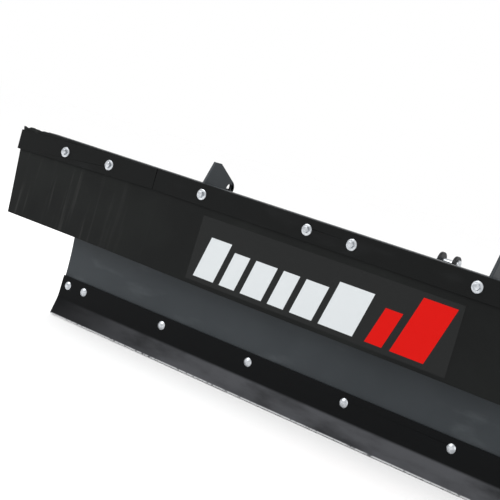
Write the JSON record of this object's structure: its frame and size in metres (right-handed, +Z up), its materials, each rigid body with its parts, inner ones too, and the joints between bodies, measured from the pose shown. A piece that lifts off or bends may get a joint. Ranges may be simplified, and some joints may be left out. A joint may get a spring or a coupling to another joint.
{
  "type": "atv plow blade",
  "caption": "Straight snow plow blade with a rubber snow deflector, wear edge, trip springs, angling swivel and push frame.",
  "frame": {"origin": "on the ground, under the middle of the whole part's box", "axes": "+X along the blade, -Y the way the blade faces and plows, +Y towards the vehicle, +Z up"},
  "size_m": [2.027, 1.2253, 0.506],
  "materials": {
    "blade_paint": "satin powder coat on rolled steel",
    "edge_paint": "black paint on formed steel",
    "strip_paint": "satin black powder coat",
    "deflector_rubber": "black belting rubber, lightly scuffed",
    "zinc": "bright zinc plate",
    "bumper_rubber": "black moulded rubber",
    "cap_plastic": "black moulded plastic",
    "spring_steel": "black coated spring wire",
    "shoe_steel": "black paint, worn on the runner",
    "frame_paint": "satin black powder coat"
  },
  "bodies": {
    "push_frame": {"plate_top": "frame_paint", "plate_bottom": "frame_paint", "side_rail_left": "frame_paint", "side_rail_right": "frame_paint", "cross_tube_mast": "frame_paint", "cross_tube_rear": "frame_paint", "clevis_left": "frame_paint", "clevis_right": "frame_paint", "mast_left": "frame_paint", "mast_right": "frame_paint", "lift_pin": "zinc", "king_pin": "zinc", "king_nut": "zinc", "lock_guide": "frame_paint"},
    "swivel": {"swivel_beam": "frame_paint", "beam_cap_left": "cap_plastic", "beam_cap_right": "cap_plastic", "sector_plate": "frame_paint", "king_hub": "frame_paint", "hinge_boss_left": "frame_paint", "hinge_boss_right": "frame_paint", "hinge_pins": "zinc", "hinge_nuts": "zinc", "stop_bumpers": "bumper_rubber", "spring_anchor_left": "frame_paint", "spring_anchor_right": "frame_paint"},
    "blade": {"moldboard": "blade_paint", "top_rail": "blade_paint", "rib_inner_left": "blade_paint", "rib_inner_right": "blade_paint", "rib_outer_left": "blade_paint", "rib_outer_right": "blade_paint", "rib_end_left": "blade_paint", "rib_end_right": "blade_paint", "spring_fin_left": "blade_paint", "spring_fin_right": "blade_paint", "crossbar": "blade_paint", "hinge_ears_left": "blade_paint", "hinge_ears_right": "blade_paint", "wear_edge": "edge_paint", "edge_bolts": "zinc", "edge_nuts": "zinc", "deflector": "deflector_rubber", "strip_middle": "strip_paint", "strip_left": "strip_paint", "strip_right": "strip_paint", "clamp_bolts": "zinc", "clamp_nuts": "zinc", "shoe_bracket_left": "blade_paint", "shoe_bracket_right": "blade_paint", "shoe_bolts": "zinc", "shoe_nuts": "zinc"},
    "shoe_left": {"skid_shoe_left": "shoe_steel"},
    "shoe_right": {"skid_shoe_right": "shoe_steel"},
    "angle_lock": {"lock_pin": "zinc"},
    "coil_left": {"spring_left": "spring_steel"},
    "coil_right": {"spring_right": "spring_steel"},
    "hook_left": {"spring_hook_left": "spring_steel"},
    "hook_right": {"spring_hook_right": "spring_steel"}
  },
  "joints": [
    {"name": "blade_angle", "type": "hinge", "parent": "push_frame", "child": "swivel", "pos_m": [0, -0.31434, 0.115], "axis": [0, 0, 1], "range_deg": [-30, 30]},
    {"name": "blade_trip", "type": "hinge", "parent": "swivel", "child": "blade", "pos_m": [0, -0.45134, 0.062], "axis": [1, 0, 0], "range_deg": [0, 40], "stiffness_Nm_per_rad": 250, "springref_deg": -34.38},
    {"name": "angle_lock", "type": "slide", "parent": "push_frame", "child": "angle_lock", "axis": [0, 0, 1], "range_m": [-0.034, 0]},
    {"name": "shoe_height_left", "type": "slide", "parent": "blade", "child": "shoe_left", "axis": [0, 0, 1], "range_m": [0, 0.04]},
    {"name": "spring_swing_left", "type": "hinge", "parent": "swivel", "child": "coil_left", "pos_m": [-0.388, -0.38834, 0.14], "axis": [1, 0, 0], "range_deg": [0, 42.3]},
    {"name": "spring_stretch_left", "type": "slide", "parent": "coil_left", "child": "hook_left", "axis": [0, -0.3047, 0.9524], "range_m": [0, 0.0671]},
    {"name": "shoe_height_right", "type": "slide", "parent": "blade", "child": "shoe_right", "axis": [0, 0, 1], "range_m": [0, 0.04]},
    {"name": "spring_swing_right", "type": "hinge", "parent": "swivel", "child": "coil_right", "pos_m": [0.388, -0.38834, 0.14], "axis": [1, 0, 0], "range_deg": [0, 42.3]},
    {"name": "spring_stretch_right", "type": "slide", "parent": "coil_right", "child": "hook_right", "axis": [0, -0.3047, 0.9524], "range_m": [0, 0.0671]}
  ],
  "couplings": [
    {"joint": "spring_swing_left", "follows": "blade_trip", "ratio": 1.0574},
    {"joint": "spring_stretch_left", "follows": "blade_trip", "m_per_rad": 0.096048},
    {"joint": "spring_swing_right", "follows": "blade_trip", "ratio": 1.0574},
    {"joint": "spring_stretch_right", "follows": "blade_trip", "m_per_rad": 0.096048}
  ]
}
